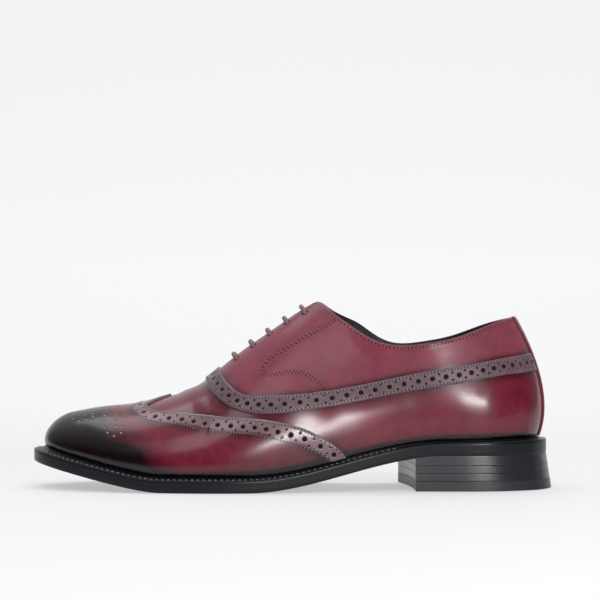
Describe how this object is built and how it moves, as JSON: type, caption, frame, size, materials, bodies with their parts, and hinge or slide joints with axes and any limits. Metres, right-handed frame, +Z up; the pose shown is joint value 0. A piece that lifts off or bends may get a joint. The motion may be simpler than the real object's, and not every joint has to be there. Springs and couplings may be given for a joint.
{
  "type": "brogue shoe",
  "caption": "Left wingtip full-brogue oxford with a hollow lasted upper, closed straight lacing, welted leather sole and stacked heel.",
  "frame": {"origin": "middle of the heel's rest face, on the floor", "axes": "+X from toe to heel back, +Y to the medial side, -Y to the lateral side, +Z up"},
  "size_m": [0.3054, 0.1032, 0.109],
  "materials": {
    "calf": "polished burgundy calf with dark burnished toe",
    "burnished_calf": "burnished dark burgundy calf with punched holes",
    "sole_edge": "blacked and polished leather edge",
    "heel_stack": "blacked stacked leather",
    "heel_rubber": "matte",
    "lining": "matte black lining",
    "lace_cord": "waxed braid"
  },
  "bodies": {
    "root": {"outsole": "sole_edge", "welt": "sole_edge", "heel_rand": "sole_edge", "heel_seat_lift": "heel_stack", "heel_lift_1": "heel_stack", "heel_lift_2": "heel_stack", "heel_top_piece": "heel_rubber", "insole": "lining", "upper": "calf", "wing_cap": "calf", "brogue_band": "burnished_calf", "back_strip": "calf", "tongue": "lining", "laces": "lace_cord"}
  },
  "joints": []
}
